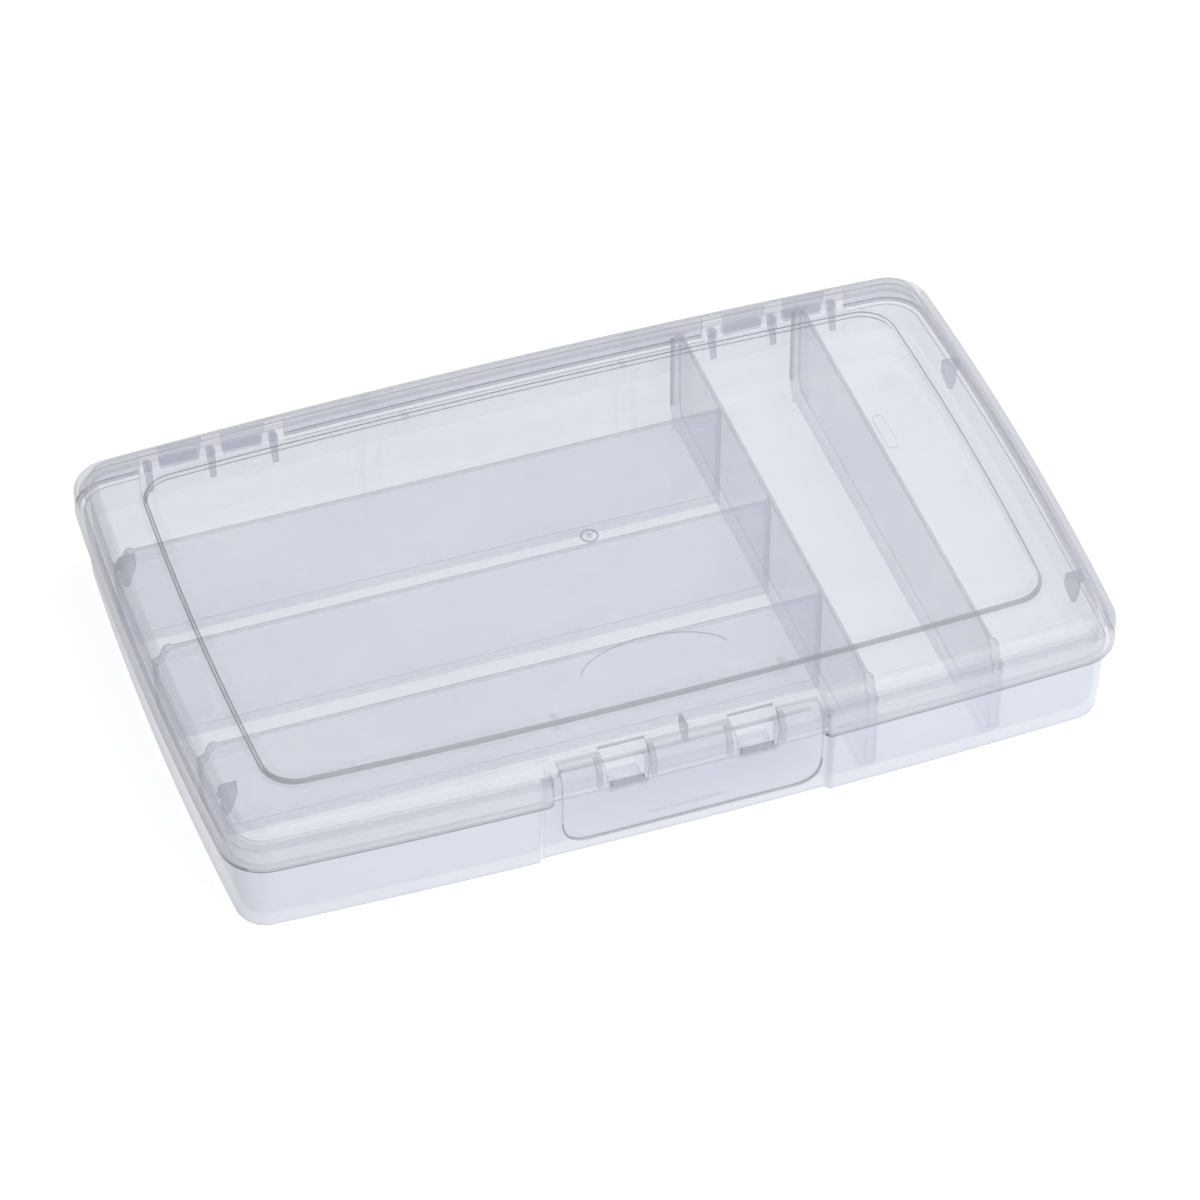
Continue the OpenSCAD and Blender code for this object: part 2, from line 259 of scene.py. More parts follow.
def make(name, shape, body, material, nodes, finish=plain(0.5)):
    """Makes a piece from millimetre vertices and faces, ties it to its body, and hides the CAD nodes it
    replaces.
    """
    vertices, faces = shape
    mesh = bpy.data.meshes.new(name)
    mesh.from_pydata([Vector(v) * MM for v in vertices], [], faces)
    work = bmesh.new()
    work.from_mesh(mesh)
    bmesh.ops.remove_doubles(work, verts=work.verts, dist=WELD * MM)
    bmesh.ops.dissolve_degenerate(work, edges=work.edges, dist=LEAST_EDGE * MM)
    bmesh.ops.recalc_face_normals(work, faces=work.faces)
    work.to_mesh(mesh)
    work.free()
    mark_faces(mesh, finish)
    mesh.shade_smooth()
    mesh.set_sharp_from_angle(angle=SHARP)
    mesh.materials.append(material)
    piece = bpy.data.objects.new(name, mesh)
    bpy.context.scene.collection.objects.link(piece)
    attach(piece, body)
    if nodes:
        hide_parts(*nodes)


# ---- Materials ----


NOISE_DETAIL = 2.0


class Nodes:
    """A small helper that adds and links shader nodes."""

    def __init__(self, tree):
        self.tree = tree
        tree.nodes.clear()

    def add(self, kind, **settings):
        """A new shader node."""
        node = self.tree.nodes.new("ShaderNode" + kind)
        for key, value in settings.items():
            setattr(node, key, value)
        return node

    def link(self, output, socket):
        """Links an output to a socket."""
        self.tree.links.new(output, socket)

    def math(self, operation, *values):
        """A maths node on numbers and outputs."""
        node = self.add("Math", operation=operation)
        for socket, value in zip(node.inputs, values):
            if isinstance(value, (int, float)):
                socket.default_value = value
            else:
                self.link(value, socket)
        return node.outputs[0]

    def ranged(self, value, low, high, to_low, to_high):
        """A value mapped from one range to another."""
        node = self.add("MapRange")
        self.link(value, node.inputs["Value"])
        node.inputs["From Min"].default_value = low
        node.inputs["From Max"].default_value = high
        node.inputs["To Min"].default_value = to_low
        node.inputs["To Max"].default_value = to_high
        return node.outputs[0]

    def noise(self, where, scale, stretch=(1, 1, 1)):
        """Noise in space, stretched along the axes."""
        mapping = self.add("Mapping")
        mapping.inputs["Scale"].default_value = stretch
        self.link(where, mapping.inputs["Vector"])
        node = self.add("TexNoise")
        node.inputs["Scale"].default_value = scale
        node.inputs["Detail"].default_value = NOISE_DETAIL
        self.link(mapping.outputs[0], node.inputs["Vector"])
        return node.outputs["Fac"]


BULK_HAZE = 0.34
SLANT_HAZE = 0.8
CLOUDING = 0.12
SCUFF_HAZE = 0.03
MOST_HAZE = 0.95
FLOW_SCALE, GRAIN_SCALE, SCRATCH_SCALE = 22, 900, 60
# Painted shade: the dark colour that fillets and edges take, in place of the darkness that refraction gives
# the edges of clear plastic.
EDGE_SHADE_TINT = (0.22, 0.235, 0.27)
CLEAR_TINT = (0.989, 0.993, 1)
BODY_ROUGHNESS, GLOSS_ROUGHNESS = 0.45, 0.16
LEAST_GLOSS, SLANT_GLOSS = 0.03, 0.6


def clear_plastic(name, haze, tint, bulk_tint, edge_shade):
    """See-through polypropylene: a little haze, more of it at a slant, and more at fillets and edges in a
    dark colour that is painted shade for the darkness refraction gives there, and a soft gloss.
    tint is the haze's colour, bulk_tint its colour where the face attribute "bulk" is high."""
    material = bpy.data.materials.new(name)
    material.use_nodes = True
    n = Nodes(material.node_tree)
    where = n.add("TexCoord").outputs["Object"]
    edge = n.add("Attribute", attribute_name="edge").outputs["Fac"]
    bulk = n.add("Attribute", attribute_name="bulk").outputs["Fac"]

    flow = n.noise(where, FLOW_SCALE, (1, 1.6, 1))
    grain = n.noise(where, GRAIN_SCALE)
    scratches = n.noise(where, SCRATCH_SCALE, (1, 22, 1))
    scuffs = n.ranged(scratches, 0.66, 0.74, 0.0, SCUFF_HAZE)

    slant = n.add("LayerWeight")
    slant.inputs["Blend"].default_value = 0.5
    lean = n.math("POWER", slant.outputs["Facing"], 3.0)
    cloud = n.ranged(flow, 0.3, 0.7, haze * (1 - CLOUDING), haze * (1 + CLOUDING))
    body = n.math("ADD", n.math("ADD", cloud, scuffs), n.math("MULTIPLY", lean, haze * SLANT_HAZE))
    body = n.math("ADD", body, n.math("MULTIPLY", bulk, BULK_HAZE))
    # Fillets and edges get more haze, which carries the painted edge shade.
    opacity = n.math("MINIMUM", n.math("ADD", body, n.math("MULTIPLY", edge, edge_shade)), MOST_HAZE)

    # The colour sockets are set by place, because their names repeat by type
    thick = n.add("Mix", data_type="RGBA")
    n.link(bulk, thick.inputs[0])
    thick.inputs[6].default_value = (*tint, 1)
    thick.inputs[7].default_value = (*bulk_tint, 1)
    # Fillets and edges turn to the dark painted shade colour, by the face attribute edge.
    colour = n.add("Mix", data_type="RGBA")
    n.link(edge, colour.inputs[0])
    n.link(thick.outputs[2], colour.inputs[6])
    colour.inputs[7].default_value = (*EDGE_SHADE_TINT, 1)

    bump = n.add("Bump")
    bump.inputs["Strength"].default_value = 0.12
    bump.inputs["Distance"].default_value = 0.0001
    n.link(n.math("ADD", flow, n.math("MULTIPLY", grain, 0.25)), bump.inputs["Height"])

    plastic = n.add("BsdfPrincipled")
    plastic.inputs["Roughness"].default_value = BODY_ROUGHNESS
    plastic.inputs["Specular IOR Level"].default_value = 0.2
    n.link(colour.outputs[2], plastic.inputs["Base Color"])
    n.link(bump.outputs[0], plastic.inputs["Normal"])
    clear = n.add("BsdfTransparent")
    clear.inputs["Color"].default_value = (*CLEAR_TINT, 1)
    mix = n.add("MixShader")
    n.link(opacity, mix.inputs[0])
    n.link(clear.outputs[0], mix.inputs[1])
    n.link(plastic.outputs[0], mix.inputs[2])

    gloss = n.add("BsdfAnisotropic")
    gloss.inputs["Roughness"].default_value = GLOSS_ROUGHNESS
    n.link(bump.outputs[0], gloss.inputs["Normal"])
    mirror = n.math("POWER", slant.outputs["Facing"], 5.0)
    shine = n.add("MixShader")
    n.link(n.math("MULTIPLY_ADD", mirror, SLANT_GLOSS, LEAST_GLOSS), shine.inputs[0])
    n.link(mix.outputs[0], shine.inputs[1])
    n.link(gloss.outputs[0], shine.inputs[2])
    output = n.add("OutputMaterial")
    n.link(shine.outputs[0], output.inputs["Surface"])
    return material


# The tray's and the dividers' tints are set lighter than the lid's: painted light that makes up for the shade
# they lie in under the lid.
tray_plastic = clear_plastic("tray_plastic", 0.12, (0.84, 0.86, 0.95), (0.60, 0.63, 0.72), 0.45)
divider_plastic = clear_plastic("divider_plastic", 0.17, (0.79, 0.79, 0.87), (0.80, 0.82, 0.92), 0.45)
lid_plastic = clear_plastic("lid_plastic", 0.11, (0.64, 0.642, 0.71), (0.60, 0.605, 0.67), 0.5)
latch_plastic = clear_plastic("latch_plastic", 0.14, (0.64, 0.64, 0.70), (0.70, 0.71, 0.78), 0.5)
# The film's white colour is a painted highlight: a bright line along the crest.
film_highlight_plastic = clear_plastic("film_highlight_plastic", 0.10, (0.9, 0.9, 0.95), (1.0, 1.0, 1.0), 0.0)
web_plastic = clear_plastic("web_plastic", 0.22, (0.50, 0.51, 0.58), (0.60, 0.62, 0.70), 0.3)
hinge_plastic = clear_plastic("hinge_plastic", 0.06, (0.60, 0.605, 0.68), (0.70, 0.72, 0.80), 0.45)


# ---- Outlines ----


def bowed_outline(hx, hy, bow_x, bow_y, r, xs, ys, corner_steps=10):
    """A rectangle with round corners whose sides bow out. xs and ys are where the sides have points."""
    turn_x, turn_y = 2 * math.atan(bow_x / (hy - r)), 2 * math.atan(bow_y / (hx - r))
    side_rx = (hy - r) / math.sin(turn_x) + r
    side_ry = (hx - r) / math.sin(turn_y) + r
    mid_x = hx - r - (side_rx - r) * math.cos(turn_x)
    mid_y = hy - r - (side_ry - r) * math.cos(turn_y)
    quarter = [Vector((mid_x + math.sqrt(side_rx**2 - y * y), y)) for y in ys]
    quarter += arc((hx - r, hy - r), r, math.degrees(turn_x), 90 - math.degrees(turn_y), corner_steps)
    quarter += [Vector((x, mid_y + math.sqrt(side_ry**2 - x * x))) for x in xs]
    there, back = quarter[:-1], quarter[:0:-1]
    outline = list(there)
    outline += [Vector((-p.x, p.y)) for p in back]
    outline += [-p for p in there]
    outline += [Vector((p.x, -p.y)) for p in back]
    return outline


SHORT_STATIONS = [0, 12, 24, 36, 48, 60]


def rim_ring(depth, z, xs):
    """A ring about the box at a depth in from the lid's rim."""
    r = max(CORNER_R - depth, LEAST_R)
    outline = bowed_outline(RIM_HX - depth, RIM_HY - depth, CROWN_X, CROWN_Y, r, xs, SHORT_STATIONS)
    return [Vector((p.x, p.y, z)) for p in outline]


def panel_ring(depth, z, xs):
    """A ring about the raised panel. Its points keep the share of each side that the rim's have."""
    hx, hy, r = PANEL_HX - depth, PANEL_HY - depth, max(PANEL_R - depth, LEAST_R)
    share_x = PANEL_HX / RIM_HX * 0.95
    share_y = PANEL_HY / RIM_HY
    xs = [x * share_x for x in xs]
    ys = [y * share_y for y in SHORT_STATIONS]
    outline = bowed_outline(hx, hy, PANEL_CROWN_X, PANEL_CROWN_Y, r, xs, ys)
    return [Vector((p.x, p.y, z)) for p in outline]


def short_side_bow(y):
    """How far a short side bows out at y."""
    return CROWN_X * (1 - (y / (RIM_HY - CORNER_R)) ** 2)


def long_side_bow(x):
    """How far a long side bows out at x."""
    return CROWN_Y * (1 - (x / (RIM_HX - CORNER_R)) ** 2)


def smooth(t):
    """A smooth ramp from 0 to 1."""
    t = min(max(t, 0.0), 1.0)
    return t * t * (3 - 2 * t)


def about(x, gap=0.05):
    """Two stations just outside and just inside x."""
    return [x + gap, x - gap]


# ---- Tray ----

TRAY_OUTSIDE = rounded([
    (12, 0),
    (TRAY_FOOT_INSET, 0, 3),
    (3.1, SEAT_FOOT_Z, 0.3),
    (2.6, 25.7, 0.5),
    (SHELF_INSET, PARTING_Z, 0.35),
    (SHELF_INSET + 0.85, PARTING_Z, 0.3),
    (TRAY_RIM_INSET, TRAY_RIM_Z, 0.6),
    (TRAY_RIM_INSET + TRAY_WALL / 2, TRAY_RIM_Z),
])
TRAY_INSIDE = rounded([
    (TRAY_RIM_INSET + TRAY_WALL / 2, TRAY_RIM_Z),
    (TRAY_RIM_INSET + TRAY_WALL, TRAY_RIM_Z, 0.6),
    (TRAY_FOOT_INSET + TRAY_WALL, FLOOR_Z, SCOOP_R),
    (16, FLOOR_Z),
], 8)[1:]
TRAY_STATIONS = [
    117, *about(HINGE_X[1] + SEAT_HX), 105, 97, 90, 83, 75, *about(HINGE_X[1] - SEAT_HX), 60, 52,
    RECESS_HX + 1.4, RECESS_HX + 0.8, RECESS_HX + 0.5, RECESS_HX, RECESS_HX - 0.5, RECESS_HX - 0.8,
    RECESS_HX - 1.4, RISE_HX + 0.9, RISE_HX + 0.3, RISE_HX - 0.3, RISE_HX - 0.9, 26, 13, 0,
]


def tray_point(point, depth, outside):
    """Steps the wall back behind the latch, where it stands higher, and flattens it for the hinges."""
    x, y, z = point
    shelf = outside and depth < SHELF_INSET + 0.12
    if y < 0 and not shelf:
        y += RECESS * smooth((RECESS_HX + RECESS_JOG / 2 - abs(x)) / RECESS_JOG)
        if z > TRAY_RIM_Z - 1:
            z += RISE * smooth((RISE_HX + 0.9 - abs(x)) / 1.8)
    if outside and y > 0 and z > SEAT_FOOT_Z and abs(abs(x) - HINGE_X[1]) < SEAT_HX:
        y = SEAT_Y
    return Vector((x, y, z))


def tray_shape():
    """The tray's shell: up its outside, over its rim and down its inside."""
    rings = []
    for outside, profile in ((True, TRAY_OUTSIDE), (False, TRAY_INSIDE)):
        for depth, z in profile:
            ring = rim_ring(depth, z, TRAY_STATIONS)
            rings.append([tray_point(p, depth, outside) for p in ring])
    return loft(rings)


def faces_out(centre, normal):
    """Whether a face looks away from the middle of the box."""
    return Vector((centre.x / RIM_HX, centre.y / RIM_HY)).dot(normal.xy) > 0.1


def beside_window(centre):
    """Whether a point is level with one of the latch's windows, along the front."""
    return abs(abs(centre.x) - WINDOW_X[1]) < WINDOW_TOP_W / 2


def tray_finish(centre, normal):
    """Painted shade as dark lines at the shelf, for the shadow of the gap under the lid's lip, and along the
    rim's edge behind the latch; and walls that scatter more than the floor.
    """
    behind_latch = centre.y < 0 and abs(centre.x) < RECESS_HX
    in_window = behind_latch and beside_window(centre)
    # A painted dark line of shade along the rim's top edge, where the latch windows show it.
    if in_window and centre.z > TRAY_RIM_Z + RISE - 0.5 and normal.y < -0.1:
        return look(0.8, least=0.7)
    # Painted shadow of the gap between the lid's lip and the tray's shelf.
    if PARTING_Z - 1 < centre.z < PARTING_Z + 0.3:
        return look(0.5, 0.3)
    if centre.z > PARTING_Z and not behind_latch:
        return look(0.15)
    if faces_out(centre, normal) and abs(normal.z) < 0.98:
        side = normal.xy.normalized()
        if side.y > 0.4 or side.x > 0.7:
            return look(0.2, 0.4 * smooth(centre.z / 16 - 0.2))
        most = 1.2 if behind_latch else 1.4
        if in_window and centre.z > PARTING_Z:
            most = 0.4
        return look(0.2, most * smooth(0.6 + centre.z / 12))
    return look(0.15, 0.15 * smooth((centre.z - 4) / 8))


make("tray_shell", tray_shape(), "tray", tray_plastic, ["base_tray"], tray_finish)


RIDGE_R = 0.22


def mould_mark():
    """A low oblong ridge on the floor of the right bay."""
    x, y, half_length, half_width = 115.5, 53.0, 6.0, 1.8
    loop = arc((x, y + half_length), half_width, 0, 180, 10)
    loop += arc((x, y - half_length), half_width, 180, 360, 10)
    points = [Vector((p.x, p.y, FLOOR_Z)) for p in loop + loop[:1]]
    return tube(points, RIDGE_R)


make("tray_mould_mark", mould_mark(), "tray", tray_plastic, [], plain(0.15))


# ---- Dividers ----

DIVIDER_T = 1.5
DIVIDER_DRAFT = 0.35
FOOT_FILLET = 1.4
STEP_Z = 33.0
SEAM = 0.06
DIVIDER_TOP_R = 0.55
END_FILLET = 1.4
END_STEP = [(STEP_Z, 5.4), (STEP_Z + 0.5, 6.5), (STEP_Z + 1.2, 7.2), (STEP_Z + 3.4, 8.0),
            (STEP_Z + 4.4, 8.6), (DIVIDER_TOP - 0.3, 9.6), (DIVIDER_TOP, 10.2)]


def inner_wall_inset(z):
    """Distance from the rim to the tray's inner wall at a height."""
    for (a_in, a_z), (b_in, b_z) in zip(TRAY_INSIDE, TRAY_INSIDE[1:]):
        if b_z <= z <= a_z and a_z > b_z:
            return a_in + (b_in - a_in) * (a_z - z) / (a_z - b_z)
    return TRAY_INSIDE[0][0] if z > FLOOR_Z else TRAY_INSIDE[-1][0]


def wall_end(wall, z):
    """How far a divider reaches towards a wall at a height: along the wall, then in by a step."""
    if z <= STEP_Z:
        return wall - inner_wall_inset(z) - SEAM
    for (a_z, a_in), (b_z, b_in) in zip(END_STEP, END_STEP[1:]):
        if z <= b_z:
            return wall - a_in - (b_in - a_in) * (z - a_z) / (b_z - a_z)
    return wall - END_STEP[-1][1]


def fillet(distance, radius):
    """How far a fillet stands out at a distance from the corner."""
    if distance >= radius:
        return 0.0
    return radius - math.sqrt(radius**2 - (radius - distance) ** 2)


def divider_shape(place, low_end, high_end):
    """A divider with draft, a fillet at its foot and ends, and a rounded top. The ends are functions of z."""
    heights = [FLOOR_Z + SEAM + FOOT_FILLET * t for t in (0, 0.08, 0.2, 0.38, 0.62, 1)]
    heights += [6, 8.5, 12, 18, 25, STEP_Z, STEP_Z + 0.02, STEP_Z + 0.5, STEP_Z + 1.2, STEP_Z + 2.4]
    heights += [STEP_Z + 3.4, STEP_Z + 4.4]
    heights += [DIVIDER_TOP - DIVIDER_TOP_R * (1 - math.sin(math.radians(a))) for a in (0, 30, 60, 90)]
    rings = []
    for z in sorted(heights):
        start, end = low_end(z), high_end(z)
        share = (z - FLOOR_Z) / (DIVIDER_TOP - FLOOR_Z)
        half = (DIVIDER_T + DIVIDER_DRAFT * (0.5 - share)) / 2
        drop = DIVIDER_TOP_R - (DIVIDER_TOP - z)
        if drop > 0:
            half -= DIVIDER_TOP_R - math.sqrt(max(DIVIDER_TOP_R**2 - drop**2, 0))
        half += fillet(z - FLOOR_Z - SEAM, FOOT_FILLET) * 0.8
        reach = [0, 0.15, 0.4, 0.8, 1.4]
        near = [(start + d, half + 0.7 * fillet(d, END_FILLET)) for d in reach]
        far = [(end - d, half + 0.7 * fillet(d, END_FILLET)) for d in reversed(reach)]
        inner = [(start + (end - start) * i / 12, half) for i in range(1, 12)]
        side = near + inner + far
        rings.append([place(s, -w, z) for s, w in side] + [place(s, w, z) for s, w in reversed(side)])
    return loft(rings)


def divider_finish(centre, _normal):
    """Painted shade where a divider's end meets the tray's wall, less of it at its top line, and clear at its
    foot.
    """
    if centre.z < FLOOR_Z + 4:
        return look(0.08)
    meets_wall = abs(centre.x) > RIM_HX - 12 or abs(centre.y) > RIM_HY - 12
    return look(0.9 if meets_wall and centre.z < STEP_Z else 0.45)


def long_divider(name):
    """A divider from the left wall to the left cross divider."""
    y = middle(name).y
    wall = RIM_HX + short_side_bow(y)
    inner_end = node_box(name)[1].x - SEAM
    shape = divider_shape(
        lambda s, w, z: Vector((s, y + w, z)),
        lambda z: -wall_end(wall, z),
        lambda z: inner_end,
    )
    make(name + "_plate", shape, "tray", divider_plastic, [name], divider_finish)


def cross_divider(name):
    """A divider from the front wall to the rear wall."""
    x = middle(name).x
    wall = RIM_HY + long_side_bow(x)
    shape = divider_shape(
        lambda s, w, z: Vector((x - w, s, z)),
        lambda z: -wall_end(wall, z),
        lambda z: wall_end(wall, z),
    )
    make(name + "_plate", shape, "tray", divider_plastic, [name], divider_finish)


for place_name in ("front", "middle", "rear"):
    long_divider("long_divider_" + place_name)
for side_name in ("left", "right"):
    cross_divider("cross_divider_" + side_name)


# ---- Lid ----

LID_INSIDE = rounded([
    (14, MARGIN_Z - LID_WALL),
    (SHOULDER_INSET + LID_WALL, MARGIN_Z - LID_WALL, 1.3),
    (LEDGE_W + LID_WALL, LEDGE_UNDER_Z, 0.5),
    (LID_WALL, LEDGE_UNDER_Z, 0.5),
    (LID_WALL, PARTING_Z, 0.25),
    (LID_WALL / 2, PARTING_Z),
])
GAP_SHADOW_HEIGHT, SIDE_GAP_SHADOW_HEIGHT = 0.42, 1.1  # heights of the painted shadow line at the lip's foot, for the gap between lid and tray
LID_OUTSIDE = rounded([
    (LID_WALL / 2, PARTING_Z),
    (0, PARTING_Z, 0.12),
    (0, PARTING_Z + GAP_SHADOW_HEIGHT, 0.0),
    (0, PARTING_Z + SIDE_GAP_SHADOW_HEIGHT, 0.0),
    (0, LEDGE_Z, 0.8),
    (LEDGE_W + 0.1, LEDGE_Z, 0.6),
    (SHOULDER_INSET, MARGIN_Z, 2.8),
    (14, MARGIN_Z),
], 5)[1:]
PANEL_TOP = rounded([
    (-PANEL_SLOPE - 2, MARGIN_Z),
    (-PANEL_SLOPE, MARGIN_Z, 0.55),
    (0, LID_HIGH.z, 0.55),
    (3, LID_HIGH.z),
])
PANEL_UNDER = rounded([
    (4.5, LID_HIGH.z - LID_WALL),
    (LID_WALL * 0.2, LID_HIGH.z - LID_WALL, 0.55),
    (LID_WALL * 0.2 - PANEL_SLOPE, MARGIN_Z - LID_WALL, 0.55),
    (-2, MARGIN_Z - LID_WALL),
])
LID_STATIONS = [
    117, *about(HINGE_X[1] + SEAT_HX), 100, 90, 80, *about(HINGE_X[1] - SEAT_HX), 58, 50,
    GATE_HX + 2.4, GATE_HX + 1.9, *about(GATE_HX + CHEEK_T, 0.03), GATE_HX + 1, GATE_HX + 0.6, GATE_HX + 0.25,
    *about(GATE_HX, 0.03),
    *about(WINDOW_X[1] + WINDOW_TOP_W / 2, 0.1), 19.6, *about(WINDOW_X[1] - WINDOW_TOP_W / 2, 0.1), 6, 0,
]


def lid_point(point, depth, outside):
    """Opens the rim for the latch and the hinges, and notches the crest above the latch windows."""
    x, y, z = point
    across = abs(x)
    if y < 0 and across < GATE_HX:
        front = GATE_Y if outside else GATE_Y + LID_WALL
        y = max(y, front)
        z = max(z, LEDGE_UNDER_Z)
        if outside and z > MARGIN_Z - 1 and beside_window(point):
            y = max(y, GATE_Y + NOTCH_DEPTH)
    elif y < 0 and across < GATE_HX + CHEEK_T and not outside:
        under_ledge = depth < LID_WALL + 0.6
        y = max(y, CHEEK_Y if under_ledge else GATE_Y + LID_WALL)
    elif y < GATE_Y and across < GATE_HX + CHEEK_R and outside:
        y = min(y + fillet(across - GATE_HX, CHEEK_R), GATE_Y)
    if y > RIM_HY - 2 and abs(across - HINGE_X[1]) < SEAT_HX:
        z = max(z, LEDGE_UNDER_Z)
    return Vector((x, y, z))


def lid_shape():
    """The lid's shell: from under its panel out to its lip, round it, and back over the top."""
    rings = [panel_ring(depth, z, LID_STATIONS) for depth, z in PANEL_UNDER]
    for outside, profile in ((False, LID_INSIDE), (True, LID_OUTSIDE)):
        for depth, z in profile:
            ring = rim_ring(depth, z, LID_STATIONS)
            rings.append([lid_point(p, depth, outside) for p in ring])
    rings += [panel_ring(depth, z, LID_STATIONS) for depth, z in PANEL_TOP]
    return loft(rings)


CHEEK_SHADOW_Y, CHEEK_SHADOW_Z = -86.5, (34.4, 35.9)  # a painted dark spot of shade at the top of each cheek, in the gap beside the flap


def panel_finish(normal):
    """The raised panel's step carries painted shade, a grey line that is darkest at the front and the rear.
    """
    sloping = 0.3 < abs(normal.z) < 0.985
    if normal.z > 0:
        return look(0.9, least=1.0 if sloping and abs(normal.y) > 0.15 else 0.0)
    return look(0.2, least=1.0 if sloping and normal.y < -0.15 else 0.0)


def gate_finish(centre):
    """The lid's wall behind the latch is clear, with painted shade, a dark line, on the crest above each
    window.
    """
    if beside_window(centre) and centre.z > MARGIN_Z - 0.9:
        return look(1.2, least=0.6)
    return look(0.2, 0.1)


def lid_finish(centre, normal):
    """The lip's foot carries painted shade, a dark line for the shadow of the gap above the tray's shelf. The
    band and the ledge scatter more than the shoulder.
    """
    outward = faces_out(centre, normal)
    # Painted gap shadow on the lip's foot, and on its underside.
    if centre.z < PARTING_Z + (SIDE_GAP_SHADOW_HEIGHT if normal.x < -0.6 else GAP_SHADOW_HEIGHT):
        if outward:
            return look(0.3, 0.3, 1.5)
        return look(0.2, least=0.8 if normal.z < -0.7 else 0.0)
    if abs(centre.x) < PANEL_HX + 4 and abs(centre.y) < PANEL_HY + 4:
        return panel_finish(normal)
    # A painted shadow in the gap beside the flap, at the top of each cheek.
    at_cheek = abs(abs(centre.x) - GATE_HX - 0.2) < 0.9 and centre.y < CHEEK_SHADOW_Y
    if at_cheek and CHEEK_SHADOW_Z[0] < centre.z < CHEEK_SHADOW_Z[1]:
        return look(1.0, 0.6, 1.0)
    if centre.y < GATE_Y + 2.5 and abs(centre.x) < GATE_HX + CHEEK_T:
        return gate_finish(centre)
    if centre.z < LEDGE_Z - 1:
        if not outward:
            return look(0.3, 0.1)
        return look(0.3, 0.35 if normal.y > 0.3 else 0.9)
    if centre.z < LEDGE_Z + 0.2:
        return look(0.15, 0.4 if normal.z > 0 else 0.0)
    if not outward:
        return look(0.3)
    return look(0.3, 0.35 if max(normal.x, normal.y) > 0.25 else 0.15)


make("lid_cover", lid_shape(), "lid", lid_plastic, ["lid_shell"], lid_finish)


MARK_R, MARK_LINE_R = 2.5, 0.28
OVAL_HX, OVAL_HY, OVAL_X, OVAL_Y, OVAL_LINE_R = 23, 12, 0.4, -57, 0.16


def gate_mark():
    """The sprue mark in the middle of the lid: a low ring with a nub in it."""
    sections = []
    for a in full_turn(32):
        point = Vector((MARK_R * math.cos(a), MARK_R * math.sin(a), LID_HIGH.z))
        out = Vector((point.x, point.y, 0)).normalized()
        sections.append([point + out * MARK_LINE_R * math.cos(b) + Vector((0, 0, MARK_LINE_R * math.sin(b)))
                         for b in full_turn(8)])
    nub = [(0.0, 0.9), (0.25, 0.85), (0.42, 0.6), (0.5, 0.25), (0.52, 0.02)]
    middle_nub = turned(nub, lambda s, u, v: Vector((u, v, LID_HIGH.z + s)), 16)
    return joined(loft(sections, close=True), middle_nub)


make("lid_gate_mark", gate_mark(), "lid", lid_plastic, [])


def oval_ridge():
    """A thin raised arc on the panel: the rear half of an oval field that carries nothing."""
    angles = [math.radians(12 + 156 * i / 48) for i in range(49)]
    points = [Vector((OVAL_X + OVAL_HX * math.cos(a), OVAL_Y + OVAL_HY * math.sin(a), LID_HIGH.z))
              for a in angles]
    return tube(points, OVAL_LINE_R)


make("lid_oval_ridge", oval_ridge(), "lid", lid_plastic, [])


def front_web_outline(depth, drop):
    """A rounded web that hangs from the lid's underside against the wall behind the latch."""
    return rounded_loop([
        (0.1, 0, 0.1), (0, -drop, 0.8), (depth * 0.45, -drop * 0.9, 1.5),
        (depth, -drop * 0.45, 1.8), (depth, 0, 0.1),
    ], 4)


def side_web_outline(depth, drop):
    """A web that is rooted in the shoulder's wall, hangs inside the tray's wall and narrows to its foot."""
    return rounded_loop([
        (0.2, 0.5, 0.3), (-0.9, -0.8, 0.3), (-1.1, -3.6, 0.3), (0, -4.6, 0.5), (0, -drop * 0.75, 0.8),
        (depth * 0.25, -drop, 0.9), (depth * 0.5, -drop * 0.93, 0.8),
        (depth, -drop * 0.35, 1.6), (depth, 0.5, 0.1),
    ], 4)


WEB_T, WEB_EDGE_R = 1.2, 0.3
TOUCH = 0.03  # how far a joined piece stays off, or reaches into, what it stands on


def lid_web(name):
    """One of the webs under the lid, on a short side or behind the latch."""
    low, high = node_box(name)
    centre = (low + high) / 2
    top = high.z - TOUCH
    drop = high.z - low.z
    if high.x - low.x > high.y - low.y:
        wall, facing = (low.x, 1) if low.x < 0 else (high.x, -1)
        outline = side_web_outline(high.x - low.x, drop)
        place = lambda u, v, w: Vector((wall + facing * u, centre.y + w, top + v))
    else:
        outline = front_web_outline(high.y - low.y, drop)
        place = lambda u, v, w: Vector((centre.x + w, low.y + TOUCH + u, top + v))
    shape = plate(outline, WEB_T, WEB_EDGE_R, place)
    make(name + "_plate", shape, "lid", web_plastic, [name], plain(0.15, 0.3))


for web_name in ("left_front", "left_rear", "right_front", "right_rear", "front"):
    lid_web("lid_web_" + web_name)


# ---- Latch ----

FLAP_ARC_LENGTH = math.pi / 2 * FLAP_ARC_R
FLAP_LENGTH = FLAP_ARC_LENGTH + FLAP_ARC_Z - FLAP_LOW.z
FLAP_CORNER_R, FLAP_EDGE_R = 8.5, 0.35


def flap_place(x, down, out):
    """A point of the flap, from its distance down its outer face and out from its middle."""
    half = FLAP_T / 2
    if down < FLAP_ARC_LENGTH:
        a = down / FLAP_ARC_R
        r = FLAP_ARC_R - half + out
        return Vector((x, FLAP_ARC_Y - r * math.sin(a), FLAP_ARC_Z + r * math.cos(a)))
    return Vector((x, FLAP_LOW.y + half - out, FLAP_ARC_Z - (down - FLAP_ARC_LENGTH)))


